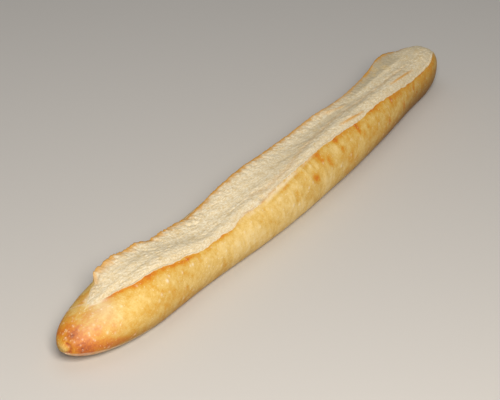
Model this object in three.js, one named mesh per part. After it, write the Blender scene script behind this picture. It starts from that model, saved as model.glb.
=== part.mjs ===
// A baguette: one loaf of white bread, baked on a flat oven floor, with one long torn cut along its top.
// Millimetres. X runs along the loaf to its blunt end, the low lip of the cut faces -Y, Z is up.
// The flat base lies at z = 0.
import * as THREE from 'three';
import { LoftGeometry } from 'three/addons/geometries/LoftGeometry.js';
import { mergeVertices } from 'three/addons/utils/BufferGeometryUtils.js';

// Sizes of the whole loaf
const LENGTH = 556;
const HALF_LENGTH = LENGTH / 2;
const WIDEST_LEVEL = 20;
const SINK = 5;
const SQUARENESS = 2.25;
const BASE_EDGE_ROUND = 1.2;

// The two rounded ends: how long they are, how blunt, and how high their tips lie
const NEAR_END = { reach: 98, fullness: 2.2, bluntness: 0.53, tipLevel: 19.3 };
const FAR_END = { reach: 44, fullness: 2.2, bluntness: 0.35, tipLevel: 22.5 };
const TIP_SHARE = 0.12;

// Curves along the loaf, each as a few places [x, value], joined smoothly
const HALF_WIDTH = [[-278, 28.5], [-200, 27.8], [-130, 25.4], [-30, 29.4], [80, 27.5], [170, 23],
  [235, 21.4]];
const CROWN_LEVEL = [[-278, 38.6], [-240, 39.4], [-190, 44.5], [-110, 40.8], [-20, 45.1], [80, 44.4],
  [170, 43.5], [235, 41.4], [270, 43.1]];
const BOW = [[-278, 0.8], [-200, -0.4], [-120, -2], [-40, -2.5], [60, -0.4], [150, 4], [220, 10.5],
  [278, 14]];

// Lines of the cut, as degrees round the section: 0 is the near side, 90 the top, 180 the far side
const LIP = [[-243, 102], [-240.5, 94], [-237, 87.5], [-231, 79.5], [-224, 74.5], [-217, 68.5], [-212, 63],
  [-205, 60.3], [-196, 60.3], [-190, 57.8], [-180, 54.4], [-164, 48], [-152, 46.5], [-147, 43.5],
  [-143, 40], [-130, 38.6], [-112, 38.5], [-98, 38], [-84, 43.5], [-66, 43], [-54, 43.5], [-42, 47],
  [-27, 50], [14, 54], [55, 55], [80, 52.5], [98, 49.5], [130, 51], [155, 48], [182, 41], [205, 34.3],
  [224, 33.5], [250, 37], [270, 50]];
const BELLY_EDGE = [[-248, 104], [-222, 82], [-200, 86], [-180, 92], [-165, 94], [-150, 84], [-122, 60],
  [-90, 68], [-55, 68], [-27, 53], [0, 68], [32, 81], [75, 91], [104, 94], [130, 87], [220, 74], [272, 78]];
const CREASE = [[-248, 104], [-222, 96], [-200, 100], [-180, 107], [-165, 110], [-145, 97], [-118, 80],
  [-60, 88], [-10, 92], [50, 99], [95, 106], [150, 98], [272, 97]];
const RIM = [[-243, 106], [-241, 113.5], [-234, 121.5], [-227, 130], [-222, 131], [-190, 131], [-100, 134],
  [0, 131], [270, 129]];

// Heights of the cut: bulge of the torn belly, depth of the crease, and the ragged ear along the far rim
const BELLY_BULGE = [[-248, 0], [-200, 1.5], [-140, 2], [-60, 1.5], [-20, 1], [40, 2], [200, 2],
  [272, 0.5]];
const CREASE_DEPTH = [[-248, 0], [-225, 0.2], [-200, 0.5], [-175, 1.4], [-150, 2.6], [-120, 3.2], [0, 3.2],
  [120, 4.2], [220, 3.6], [272, 1.5]];
const EAR_HEIGHT = [[-221.5, 0], [-216.5, 5.6], [-211, 6.6], [-203, 5.9], [-195, 6.2], [-188, 5.6],
  [-181, 4], [-172, 4.4], [-162, 3.8], [-156, 1.9], [-144, 1.9], [-126, 1.8], [-105, 0.1], [-70, 2.3],
  [-30, 3.1], [5, 1.8], [45, 1.5], [85, 2.2], [118, 0.2], [155, 1.1], [185, 3.2], [208, 6.9], [225, 6],
  [242, 1.1], [262, -1.7]];
const LIP_DROP = 1.6;
const OPENING = [-248, -224];
const EAR_BACK_DEGREES = 15;

// The cut's cross profile, as shares of the way from the lip to the rim, and how its parts curve
const LIP_STEP_SHARE = 0.06;
const BELLY_SHARES = [0.15, 0.7];
const CREASE_GAP = 0.1;
const CREASE_LIMIT = 0.88;
const BELLY_LEAN = 0.8;
const WALL_CURVE = 2;
const CUT_FADE = [0.15, 0.6];

// Flakes lying over in the cut, from one place to another, with their height
const FLAKES = [
  { from: [78, 68], to: [118, 58], height: 1.2 },
  { from: [88, 127], to: [124, 106], height: 1.4 },
  { from: [172, 64], to: [218, 53], height: 1.2 },
];
const FLAKE_STEEP_DEGREES = 4;
const FLAKE_GENTLE_DEGREES = 11;

// Crags of the torn crumb
const CRAG_HEIGHT = 0.25;
const CRAG_LENGTHS = [23, 41];
const CRAG_DEGREES = [64, 47];

// How finely the surface is drawn
const STATIONS = 110;
const END_CROWDING = 0.35;
const NEAR_POINTS = 12;
const CUT_POINTS = 18;
const FAR_POINTS = 12;
const RIM_CROWDING = 1.3;
const LEAST_CUT_DEGREES = 44;
const UNDERSIDE_DEGREES = -90;
const FULL_TURN = 360;

const CRUST_COLOUR = '#d8a34a';
const CRUST_ROUGHNESS = 0.72;

const { clamp, degToRad, lerp, smoothstep } = THREE.MathUtils;

// A smooth curve through a few places, each with the slope of its two neighbours
function follow(places, x) {
  const last = places.length - 1;
  const at = clamp(x, places[0][0], places[last][0]);
  let index = 0;
  while (index < last - 1 && at >= places[index + 1][0]) index += 1;
  const slopeAt = (k) => {
    if (k === 0 || k === last) return 0;
    return (places[k + 1][1] - places[k - 1][1]) / (places[k + 1][0] - places[k - 1][0]);
  };
  const [startX, start] = places[index];
  const [endX, end] = places[index + 1];
  const span = endX - startX;
  const t = (at - startX) / span;
  const rest = 1 - t;
  return start * (1 + 2 * t) * rest * rest + slopeAt(index) * span * t * rest * rest
    + end * t * t * (3 - 2 * t) + slopeAt(index + 1) * span * t * t * (t - 1);
}

// How full the section is: close to nothing at a tip, one along the body of the loaf
function fullnessAt(x) {
  const endShare = (distance, end) => {
    const left = 1 - clamp(distance / end.reach, 0, 1);
    return (1 - left ** end.fullness) ** end.bluntness;
  };
  const share = endShare(x + HALF_LENGTH, NEAR_END) * endShare(HALF_LENGTH - x, FAR_END);
  return Math.max(share, TIP_SHARE);
}

// How far the torn cut lies inside the round crust, or its ear outside it
function reliefAt(x, degrees) {
  const lip = follow(LIP, x);
  const rim = follow(RIM, x);
  const wide = Math.max(rim - lip, 1);
  const across = (degrees - lip) / wide;
  const bellyEnd = clamp((follow(BELLY_EDGE, x) - lip) / wide, ...BELLY_SHARES);
  const creaseAt = clamp((follow(CREASE, x) - lip) / wide, bellyEnd + CREASE_GAP, CREASE_LIMIT);
  const depth = follow(CREASE_DEPTH, x);
  const open = smoothstep(x, ...OPENING);
  const ear = follow(EAR_HEIGHT, x);
  const ends = smoothstep(fullnessAt(x), ...CUT_FADE);
  if (across >= 1) {
    return ends * ear * clamp(1 - (degrees - rim) / EAR_BACK_DEGREES, 0, 1) ** 2;
  }
  if (across <= 0) return 0;
  const drop = LIP_DROP * open * smoothstep(across, 0, LIP_STEP_SHARE);
  const bulge = follow(BELLY_BULGE, x) * Math.sin(Math.PI * clamp(across / bellyEnd, 0, 1) ** BELLY_LEAN);
  const down = smoothstep(across, bellyEnd / 2, creaseAt);
  const up = clamp((across - creaseAt) / (1 - creaseAt), 0, 1) ** WALL_CURVE;
  const crags = CRAG_HEIGHT * open * Math.sin(Math.PI * across)
    * Math.sin(2 * Math.PI * (x / CRAG_LENGTHS[0] + degrees / CRAG_DEGREES[0]))
    * Math.sin(2 * Math.PI * (x / CRAG_LENGTHS[1] - degrees / CRAG_DEGREES[1]));
  return ends * ((bulge - drop) * (1 - down) - depth * down * (1 - up) + ear * up
    + crags + flakesAt(x, degrees));
}

// Height that the flakes add: steep on the side of the lip, gentle on the side of the rim
function flakesAt(x, degrees) {
  let height = 0;
  for (const flake of FLAKES) {
    const along = (x - flake.from[0]) / (flake.to[0] - flake.from[0]);
    if (along <= 0 || along >= 1) continue;
    const off = degrees - lerp(flake.from[1], flake.to[1], along);
    const reach = off < 0 ? FLAKE_STEEP_DEGREES : FLAKE_GENTLE_DEGREES;
    height += flake.height * Math.sin(Math.PI * along) * Math.exp(-((off / reach) ** 2));
  }
  return height;
}

// One point of the surface: the round crust, flattened underneath, with the relief of the cut
function surfacePoint(x, degrees) {
  const share = fullnessAt(x);
  const tipLevel = x < 0 ? NEAR_END.tipLevel : FAR_END.tipLevel;
  const middle = lerp(tipLevel, WIDEST_LEVEL, smoothstep(share, 0, 1));
  const across = Math.cos(degToRad(degrees));
  const upward = Math.sin(degToRad(degrees));
  const halfWidth = follow(HALF_WIDTH, x) * share;
  const halfHeight = (upward >= 0 ? follow(CROWN_LEVEL, x) - WIDEST_LEVEL : WIDEST_LEVEL + SINK) * share;
  const round = Math.abs(across / halfWidth) ** SQUARENESS + Math.abs(upward / halfHeight) ** SQUARENESS;
  const radius = round ** (-1 / SQUARENESS) + reliefAt(x, degrees);
  const level = middle + radius * upward;
  return new THREE.Vector3(x, follow(BOW, x) - radius * across, flattened(level));
}

// The oven floor presses the underside flat, with a small rounding along the flat's edge
function flattened(level) {
  if (level >= BASE_EDGE_ROUND) return level;
  if (level <= -BASE_EDGE_ROUND) return 0;
  return (level + BASE_EDGE_ROUND) ** 2 / (4 * BASE_EDGE_ROUND);
}

// Angles of one ring, crowded into the cut so that its lip and its rim lie on points of every ring
function ringAngles(x) {
  const middle = (follow(LIP, x) + follow(RIM, x)) / 2;
  const half = Math.max(follow(RIM, x) - follow(LIP, x), LEAST_CUT_DEGREES) / 2;
  const lip = middle - half;
  const rim = middle + half;
  const angles = [];
  for (let k = 0; k < NEAR_POINTS; k += 1) angles.push(lerp(UNDERSIDE_DEGREES, lip, k / NEAR_POINTS));
  for (let k = 0; k < CUT_POINTS; k += 1) angles.push(lerp(lip, rim, k / CUT_POINTS));
  for (let k = 0; k < FAR_POINTS; k += 1) {
    angles.push(lerp(rim, UNDERSIDE_DEGREES + FULL_TURN, (k / FAR_POINTS) ** RIM_CROWDING));
  }
  return angles;
}

// Stations along the loaf, closer together towards the rounded ends
function stationAt(index) {
  const t = index / (STATIONS - 1);
  const even = lerp(-HALF_LENGTH, HALF_LENGTH, t);
  const crowded = -HALF_LENGTH * Math.cos(Math.PI * t);
  return lerp(even, crowded, END_CROWDING);
}

const rings = [];
for (let index = 0; index < STATIONS; index += 1) {
  const x = stationAt(index);
  rings.push(ringAngles(x).map((degrees) => surfacePoint(x, degrees)).reverse());
}

// The rings are skinned into one closed surface, and its box is centred over the origin
const loft = new LoftGeometry(rings, { capStart: true, capEnd: true });
const sheet = new THREE.BufferGeometry();
sheet.setIndex(loft.index);
sheet.setAttribute('position', loft.getAttribute('position'));
const skin = mergeVertices(sheet);
skin.computeBoundingBox();
const middleOfBox = skin.boundingBox.getCenter(new THREE.Vector3());
skin.translate(-middleOfBox.x, -middleOfBox.y, -skin.boundingBox.min.z);
skin.computeVertexNormals();

const crust = new THREE.MeshStandardMaterial({
  color: CRUST_COLOUR,
  roughness: CRUST_ROUGHNESS,
  metalness: 0,
});
const loaf = new THREE.Mesh(skin, crust);
loaf.name = 'loaf';

const baguette = new THREE.Group();
baguette.name = 'baguette';
baguette.add(loaf);

export default baguette;
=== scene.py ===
# %% [markdown]
# # A baguette
# A baguette is one long loaf of wheat dough, slashed along its top with a blade and baked on a flat floor.
# In the oven the slash tears open: its far edge lifts into a ragged ear and pale crumb shows in the gap.
# The loaf is one piece, so this lesson makes one mesh from a few curves, then gives it two finishes:
# the baked crust and the torn crumb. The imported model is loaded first, because it fixes place and size.

import bpy
import numpy as np
from mathutils import Matrix, Vector


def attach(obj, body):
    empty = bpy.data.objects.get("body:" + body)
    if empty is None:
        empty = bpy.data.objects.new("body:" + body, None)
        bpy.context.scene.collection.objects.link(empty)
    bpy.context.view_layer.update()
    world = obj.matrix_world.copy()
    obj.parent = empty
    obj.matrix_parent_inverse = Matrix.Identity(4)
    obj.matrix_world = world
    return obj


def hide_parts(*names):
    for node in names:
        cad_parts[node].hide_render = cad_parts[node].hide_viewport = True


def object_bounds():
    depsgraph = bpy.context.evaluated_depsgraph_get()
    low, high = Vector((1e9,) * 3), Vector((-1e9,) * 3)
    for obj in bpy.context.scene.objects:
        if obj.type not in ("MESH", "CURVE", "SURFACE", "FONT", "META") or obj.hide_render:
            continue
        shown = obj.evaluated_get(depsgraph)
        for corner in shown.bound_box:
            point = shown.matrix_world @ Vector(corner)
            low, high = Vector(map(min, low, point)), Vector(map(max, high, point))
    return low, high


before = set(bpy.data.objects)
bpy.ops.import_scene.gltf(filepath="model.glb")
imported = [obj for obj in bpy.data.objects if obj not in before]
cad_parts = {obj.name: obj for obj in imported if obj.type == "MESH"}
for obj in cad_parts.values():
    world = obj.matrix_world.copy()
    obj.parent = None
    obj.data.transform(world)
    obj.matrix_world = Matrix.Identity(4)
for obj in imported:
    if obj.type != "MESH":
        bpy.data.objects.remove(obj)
solid_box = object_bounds()
MM = 0.001
print("solid box in mm:", [[round(side / MM, 1) for side in corner] for corner in solid_box])

# %% [markdown]
# ## Camera
# The photograph was taken with a long lens from the pointed end of the loaf, a little above it. A camera
# can be pushed about by eye until the picture fits. Here its angles are named instead, so that each can be
# corrected alone: azimuth turns about the upright axis, elevation lifts the eye, roll tips the picture.

# %% Camera at the photograph's viewing angle
FRAME_WIDTH_PX = 500
FOCAL_PX = 1900.0
SENSOR_MM = 36.0
VIEW_AZIMUTH = -58.0
VIEW_ELEVATION = 29.6
VIEW_ROLL = -1.4
VIEW_DISTANCE_MM = 1480.0
VIEW_TARGET_MM = (-39.05, -0.43, 25.33)


def view_axes(azimuth, elevation, roll):
    """Right, up and back directions of a camera at these angles, in degrees."""
    turn, lift, lean = np.radians([azimuth, elevation, roll])
    back = Vector((np.sin(turn) * np.cos(lift), -np.cos(turn) * np.cos(lift), np.sin(lift)))
    level = Vector((0, 0, 1)).cross(back).normalized()
    upright = back.cross(level)
    right = np.cos(lean) * level - np.sin(lean) * upright
    up = np.sin(lean) * level + np.cos(lean) * upright
    return right, up, back


def new_object(name, data):
    """A new object with this data, linked to the scene."""
    made = bpy.data.objects.new(name, data)
    bpy.context.scene.collection.objects.link(made)
    return made


right, up, back = view_axes(VIEW_AZIMUTH, VIEW_ELEVATION, VIEW_ROLL)
eye = (Vector(VIEW_TARGET_MM) + back * VIEW_DISTANCE_MM) * MM
camera_data = bpy.data.cameras.new("photo_camera")
camera_data.sensor_fit = "HORIZONTAL"
camera_data.sensor_width = SENSOR_MM
camera_data.lens = FOCAL_PX / FRAME_WIDTH_PX * SENSOR_MM
camera = new_object("photo_camera", camera_data)
camera.matrix_world = Matrix((right, up, back)).transposed().to_4x4()
camera.location = eye
bpy.context.scene.camera = camera
print("camera", round(camera_data.lens, 1), "mm lens,", [round(c, 3) for c in eye])

# %% [markdown]
# ## Colours
# Every colour is written as a hex value, the way a colour picker shows it. Blender's nodes expect linear
# light, so one function does the change, as the sRGB standard gives it. The view transform is plain sRGB,
# so that no film curve shifts the colours of the render.

# %% Colour helper
BYTE_MAX = 255
SRGB_KNEE = 0.04045
SRGB_SLOPE = 12.92
SRGB_OFFSET = 0.055
SRGB_POWER = 2.4


def linear(hex_colour, alpha=1.0):
    """An sRGB hex colour as linear red, green and blue, with alpha."""
    shares = [byte / BYTE_MAX for byte in bytes.fromhex(hex_colour[1:])]
    return [share / SRGB_SLOPE if share <= SRGB_KNEE
            else ((share + SRGB_OFFSET) / (1 + SRGB_OFFSET)) ** SRGB_POWER for share in shares] + [alpha]


bpy.context.scene.view_settings.view_transform = "Standard"
print("mid grey in linear light:", [round(c, 3) for c in linear("#808080")])

# %% [markdown]
# ## Floor and light
# A plain pale floor and soft light keep the eye on the loaf. Many lamps could ring it; two panels and a dim
# sky are enough. The main panel hangs close to the camera and the pointed end, so light falls off along
# the loaf as it does in the photograph. The weak second panel and the sky open the shadows.

# %% Floor
FLOOR_SIDE = 6.0
FLOOR_COLOUR = "#d2cfc9"
FLOOR_ROUGHNESS = 0.9


def add(tree, kind, inputs=None, **settings):
    """Adds a node, sets its properties, and gives its sockets a value or a link from another socket."""
    made = tree.nodes.new(kind)
    for name, value in settings.items():
        setattr(made, name, value)
    for socket, value in (inputs or {}).items():
        if isinstance(value, bpy.types.NodeSocket):
            tree.links.new(value, made.inputs[socket])
        else:
            made.inputs[socket].default_value = value
    return made


def new_material(name):
    """A new material with an empty tree, ready for its nodes."""
    made = bpy.data.materials.new(name)
    made.use_nodes = True
    made.node_tree.nodes.clear()
    return made


# Matt paint scatters light evenly, so the floor shows no gloss and only a soft shadow.
studio_paint = new_material("Matt_studio_paint")
tree = studio_paint.node_tree
shader = add(tree, "ShaderNodeBsdfPrincipled",
             {"Base Color": linear(FLOOR_COLOUR), "Roughness": FLOOR_ROUGHNESS})
add(tree, "ShaderNodeOutputMaterial", {"Surface": shader.outputs["BSDF"]})

floor_mesh = bpy.data.meshes.new("studio_floor")
half = FLOOR_SIDE / 2
floor_corners = [(-half, -half, 0), (half, -half, 0), (half, half, 0), (-half, half, 0)]
floor_mesh.from_pydata(floor_corners, [], [(0, 1, 2, 3)])
floor_mesh.materials.append(studio_paint)
floor = new_object("studio_floor", floor_mesh)
print("floor", FLOOR_SIDE, "m square")

# %% Lamps
LAMPS = [
    {"name": "key_panel", "at": (-0.98, -0.72, 0.96), "aim": (-0.16, 0.0, 0.02), "side": 0.5, "watts": 22.3,
     "colour": "#fff7ee"},
    {"name": "top_panel", "at": (-0.10, 0.10, 1.20), "aim": (-0.05, 0.0, 0.02), "side": 0.8, "watts": 1.5,
     "colour": "#f6f7ff"},
]
SKY_COLOUR = "#e9edf2"
SKY_STRENGTH = 0.2

for lamp in LAMPS:
    light = bpy.data.lights.new(lamp["name"], "AREA")
    light.size = lamp["side"]
    light.energy = lamp["watts"]
    light.color = linear(lamp["colour"])[:3]
    holder = new_object(lamp["name"], light)
    holder.location = lamp["at"]
    holder.rotation_euler = (Vector(lamp["aim"]) - Vector(lamp["at"])).to_track_quat("-Z", "Y").to_euler()

sky = bpy.data.worlds.new("studio_sky")
sky.use_nodes = True
sky.node_tree.nodes.clear()
glow = add(sky.node_tree, "ShaderNodeBackground", {"Color": linear(SKY_COLOUR), "Strength": SKY_STRENGTH})
add(sky.node_tree, "ShaderNodeOutputWorld", {"Surface": glow.outputs["Background"]})
bpy.context.scene.world = sky
print("lamps:", [lamp["name"] for lamp in LAMPS])

# %% [markdown]
# ## The form of the loaf
# A loaf could be sculpted, or a cylinder bent by modifiers. Here it is worked out instead: at each place
# along its length the section is a soft oval with a flat base, and a few curves say how wide it is,
# how high, and how far the loaf bows sideways. The same curves made the solid, so both agree.
# A curve is a list of places: how far along the loaf in mm, and the value there.

# %% Curves along the loaf
LENGTH = round((solid_box[1][0] - solid_box[0][0]) / MM, 1)
HALF_LENGTH = LENGTH / 2
NEAR_END = {"reach": 98.0, "fullness": 2.2, "bluntness": 0.53, "tip_level": 19.3}
FAR_END = {"reach": 44.0, "fullness": 2.2, "bluntness": 0.35, "tip_level": 22.5}
TIP_SHARE = 0.12
HALF_WIDTH = [[-278, 28.5], [-200, 27.8], [-130, 25.4], [-30, 29.4], [80, 27.5], [170, 23], [235, 21.4]]
CROWN_LEVEL = [[-278, 38.6], [-240, 39.4], [-190, 44.5], [-110, 40.8], [-20, 45.1], [80, 44.4], [170, 43.5],
               [235, 41.4], [270, 43.1]]
BOW = [[-278, 0.8], [-200, -0.4], [-120, -2], [-40, -2.5], [60, -0.4], [150, 4], [220, 10.5], [278, 14]]


def follow(places, x):
    """A smooth curve through a few places [x, value], each with the slope of its two neighbours."""
    at_x, value = np.asarray(places, float).T
    slope = np.zeros_like(value)
    slope[1:-1] = (value[2:] - value[:-2]) / (at_x[2:] - at_x[:-2])
    x = np.clip(x, at_x[0], at_x[-1])
    k = np.clip(np.searchsorted(at_x, x, side="right") - 1, 0, len(at_x) - 2)
    span = at_x[k + 1] - at_x[k]
    t = (x - at_x[k]) / span
    rest = 1 - t
    return (value[k] * (1 + 2 * t) * rest ** 2 + slope[k] * span * t * rest ** 2
            + value[k + 1] * t ** 2 * (3 - 2 * t) + slope[k + 1] * span * t ** 2 * (t - 1))


def ease(value, low, high):
    """0 below low, 1 above high, with a soft change between."""
    t = np.clip((value - low) / (high - low), 0, 1)
    return t * t * (3 - 2 * t)


def near(distance, reach):
    """1 at no distance, falling softly to almost 0 at twice the reach."""
    return np.exp(-(distance / reach) ** 2)


def fullness_at(x):
    """How full the section is: close to nothing at a tip, one along the body of the loaf."""
    share = 1.0
    for distance, end in ((x + HALF_LENGTH, NEAR_END), (HALF_LENGTH - x, FAR_END)):
        left = 1 - np.clip(distance / end["reach"], 0, 1)
        share = share * (1 - left ** end["fullness"]) ** end["bluntness"]
    return np.maximum(share, TIP_SHARE)


print("loaf", LENGTH, "mm long, half width at the middle", round(float(follow(HALF_WIDTH, 0.0)), 1), "mm")

# %% [markdown]
# ## From a place to a point
# A place on the loaf has two numbers: x along it, and an angle round its section, where 0 degrees is the
# near side, 90 the top and 180 the far side. One function turns places into points, so that later steps
# need only places. It also presses the base flat, as the oven floor does, with a small rounded edge.

# %% Points of the surface
WIDEST_LEVEL = 20.0
SINK = 5.0
SQUARENESS = 2.25
BASE_EDGE_ROUND = 1.2
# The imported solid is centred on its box, so the bowed loaf is moved sideways by this much.
BOX_MIDDLE_Y = 0.872
TOP_DEGREES = 90.0


def surface(x, degrees, relief):
    """Points of the loaf's surface: the round crust with its relief, pressed flat on the oven floor."""
    share = fullness_at(x)
    tip_level = np.where(x < 0, NEAR_END["tip_level"], FAR_END["tip_level"])
    middle = tip_level + (WIDEST_LEVEL - tip_level) * ease(share, 0, 1)
    sideways, upward = np.cos(np.radians(degrees)), np.sin(np.radians(degrees))
    half_width = follow(HALF_WIDTH, x) * share
    half_height = np.where(upward >= 0, follow(CROWN_LEVEL, x) - WIDEST_LEVEL, WIDEST_LEVEL + SINK) * share
    rounded = np.abs(sideways / half_width) ** SQUARENESS + np.abs(upward / half_height) ** SQUARENESS
    radius = rounded ** (-1 / SQUARENESS) + relief
    level = middle + radius * upward
    eased = (level + BASE_EDGE_ROUND) ** 2 / (4 * BASE_EDGE_ROUND)
    level = np.where(level >= BASE_EDGE_ROUND, level, np.where(level <= -BASE_EDGE_ROUND, 0, eased))
    return np.stack([x, follow(BOW, x) - radius * sideways - BOX_MIDDLE_Y, level], -1)


print("top of the loaf at the middle, in mm:", surface(np.array(0.0), TOP_DEGREES, 0.0).round(1))

# %% [markdown]
# ## Lines of the torn cut
# The cut starts near the pointed end and runs to the blunt tip. From its low near lip the crumb bulges as
# a belly, sinks into a crease, and climbs the inner wall of the ear to the far rim. A boolean could carve
# it but would leave clean walls. So lip, belly, crease and rim are curves in degrees that wander along the
# loaf, and the section is pushed in and out between them.

# %% Lip, belly, crease and rim
LIP = [[-243, 102], [-240.5, 94], [-237, 87.5], [-231, 79.5], [-224, 74.5], [-217, 68.5], [-212, 63],
       [-205, 60.3], [-196, 60.3], [-190, 57.8], [-180, 54.4], [-164, 48], [-152, 46.5], [-147, 43.5],
       [-143, 40], [-130, 38.6], [-112, 38.5], [-98, 38], [-84, 43.5], [-66, 43], [-54, 43.5], [-42, 47],
       [-27, 50], [14, 54], [55, 55], [80, 52.5], [98, 49.5], [130, 51], [155, 48], [182, 41], [205, 34.3],
       [224, 33.5], [250, 37], [270, 50]]
BELLY_EDGE = [[-248, 104], [-222, 82], [-200, 86], [-180, 92], [-165, 94], [-150, 84], [-122, 60],
              [-90, 68], [-55, 68], [-27, 53], [0, 68], [32, 81], [75, 91], [104, 94], [130, 87], [220, 74],
              [272, 78]]
CREASE = [[-248, 104], [-222, 96], [-200, 100], [-180, 107], [-165, 110], [-145, 97], [-118, 80], [-60, 88],
          [-10, 92], [50, 99], [95, 106], [150, 98], [272, 97]]
RIM = [[-243, 106], [-241, 113.5], [-234, 121.5], [-227, 130], [-222, 131], [-190, 131], [-100, 134],
       [0, 131], [270, 129]]
LIP_WANDER = [{"every": 7.0, "degrees": 1.1}, {"every": 2.4, "degrees": 0.9}]
WANDER_SEED = 71
BELLY_SHARES = (0.15, 0.7)
CREASE_GAP = 0.1
CREASE_LIMIT = 0.88


def wander(x, every, seed):
    """A random line from -1 to 1 that turns every few mm along the loaf."""
    turns = np.arange(-HALF_LENGTH, HALF_LENGTH + every, every)
    return np.interp(x, turns, np.random.default_rng(seed).uniform(-1, 1, len(turns)))


def lip_at(x):
    """The line of the lip in degrees: its curve, with the small wander of a torn edge."""
    return follow(LIP, x) + sum(kind["degrees"] * wander(x, kind["every"], seed)
                                for seed, kind in enumerate(LIP_WANDER, WANDER_SEED))


def cut_shares(x, degrees):
    """Where a place lies across the cut, 0 at the lip and 1 at the rim, and where belly and crease lie."""
    lip, rim = lip_at(x), follow(RIM, x)
    wide = np.maximum(rim - lip, 1)
    belly_end = np.clip((follow(BELLY_EDGE, x) - lip) / wide, *BELLY_SHARES)
    crease_at = np.clip((follow(CREASE, x) - lip) / wide, belly_end + CREASE_GAP, CREASE_LIMIT)
    return (degrees - lip) / wide, belly_end, crease_at


print("cut opens at x =", LIP[0][0], "mm and ends at x =", LIP[-1][0], "mm")

# %% [markdown]
# ## Loose flakes
# In three places a flake of dough has come half away and lies over in the cut. It could be a thin mesh of
# its own, but it is still part of the crumb, so it is a low ridge along a line between two places
# (x, degrees): steep towards the lip, gentle towards the rim.

# %% Flakes that lie over in the cut
FLAKES = [
    {"from": (78, 68), "to": (118, 58), "height": 1.2, "toast": 0.85},
    {"from": (88, 127), "to": (124, 106), "height": 1.4, "toast": 0.4},
    {"from": (172, 64), "to": (218, 53), "height": 1.2, "toast": 0.9},
]
FLAKE_STEEP_DEGREES = 4.0
FLAKE_GENTLE_DEGREES = 11.0


def flake_lines(x, degrees):
    """For each flake: how far along it a place lies, from 0 to 1, and how many degrees off its edge."""
    for flake in FLAKES:
        (start_x, start), (end_x, end) = flake["from"], flake["to"]
        along = np.clip((x - start_x) / (end_x - start_x), 0, 1)
        yield flake, along, degrees - (start + (end - start) * along)


def flakes_at(x, degrees):
    """Height of the flakes at a place, in mm."""
    height = np.zeros_like(x)
    for flake, along, off in flake_lines(x, degrees):
        reach = np.where(off < 0, FLAKE_STEEP_DEGREES, FLAKE_GENTLE_DEGREES)
        height += flake["height"] * np.sin(np.pi * along) * near(off, reach)
    return height


print("flakes:", len(FLAKES), "up to", max(flake["height"] for flake in FLAKES), "mm high")

# %% [markdown]
# ## Heights of the torn cut
# Between its lines the cut leaves the round crust by a few mm: down at the lip and in the crease, up on the
# belly and the ear. A sculptor would pull this by hand. A formula of soft steps needs only a few heights,
# and each can be corrected alone.

# %% Profile of the cut
BELLY_BULGE = [[-248, 0], [-200, 1.5], [-140, 2], [-60, 1.5], [-20, 1], [40, 2], [200, 2], [272, 0.5]]
CREASE_DEPTH = [[-248, 0], [-225, 0.2], [-200, 0.5], [-175, 1.4], [-150, 2.6], [-120, 3.2], [0, 3.2],
                [120, 4.2], [220, 3.6], [272, 1.5]]
EAR_HEIGHT = [[-221.5, 0], [-216.5, 5.6], [-211, 6.6], [-203, 5.9], [-195, 6.2], [-188, 5.6], [-181, 4],
              [-172, 4.4], [-162, 3.8], [-156, 1.9], [-144, 1.9], [-126, 1.8], [-105, 0.1], [-70, 2.3],
              [-30, 3.1], [5, 1.8], [45, 1.5], [85, 2.2], [118, 0.2], [155, 1.1], [185, 3.2], [208, 6.9],
              [225, 6], [242, 1.1], [262, -1.7]]
EAR_BACK_DEGREES = 15.0
TEETH_START_SHARE = 0.9
OPENING = (-248, -224)
LIP_DROP = 1.6
LIP_STEP_SHARE = 0.06
BELLY_LEAN = 0.8
WALL_CURVE = 2.0
CRAG_HEIGHT = 0.25
CRAG_LENGTHS = (23.0, 41.0)
CRAG_DEGREES = (64.0, 47.0)
CUT_FADE = (0.15, 0.6)


def cut_relief(x, degrees, ear_teeth):
    """How far the torn cut lies inside the round crust, or its ear outside it, in mm."""
    across, belly_end, crease_at = cut_shares(x, degrees)
    depth, opened = follow(CREASE_DEPTH, x), ease(x, *OPENING)
    ear = follow(EAR_HEIGHT, x)
    teeth = opened * ear_teeth * ease(across, TEETH_START_SHARE, 1)
    fall = np.clip(1 - (degrees - follow(RIM, x)) / EAR_BACK_DEGREES, 0, 1) ** 2
    drop = LIP_DROP * opened * ease(across, 0, LIP_STEP_SHARE)
    bulge = follow(BELLY_BULGE, x) * np.sin(np.pi * np.clip(across / belly_end, 0, 1) ** BELLY_LEAN)
    down = ease(across, belly_end / 2, crease_at)
    climb = np.clip((across - crease_at) / (1 - crease_at), 0, 1) ** WALL_CURVE
    crags = (CRAG_HEIGHT * opened * np.sin(np.pi * np.clip(across, 0, 1))
             * np.sin(2 * np.pi * (x / CRAG_LENGTHS[0] + degrees / CRAG_DEGREES[0]))
             * np.sin(2 * np.pi * (x / CRAG_LENGTHS[1] - degrees / CRAG_DEGREES[1])))
    torn = (bulge - drop) * (1 - down) - depth * down * (1 - climb) + ear * climb + crags
    torn = torn + flakes_at(x, degrees) + teeth
    shown = np.where(across >= 1, (ear + teeth) * fall, np.where(across <= 0, 0, torn))
    return shown * ease(fullness_at(x), *CUT_FADE)


print("ear up to", max(height for _, height in EAR_HEIGHT), "mm above the round crust")

# %% [markdown]
# ## A fine grid over the loaf
# The surface is drawn as a grid: rings across the loaf, lines along it. A remesh would give even faces, but
# here the lines follow the lip and the rim, so both edges of the cut lie on grid lines and stay clean.
# Most points go to the cut, and rings crowd towards the tips, where the form turns fastest.

# %% Grid of places
STATIONS = 556
END_CROWDING = 0.4
BASE_POINTS = 7
NEAR_POINTS = 48
CUT_POINTS = 84
FAR_POINTS = 32
BASE_EDGE_DEGREES = 42.0
LEAST_CUT_DEGREES = 10.0
UNDERSIDE_DEGREES = -90.0
FULL_TURN = 360.0

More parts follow.
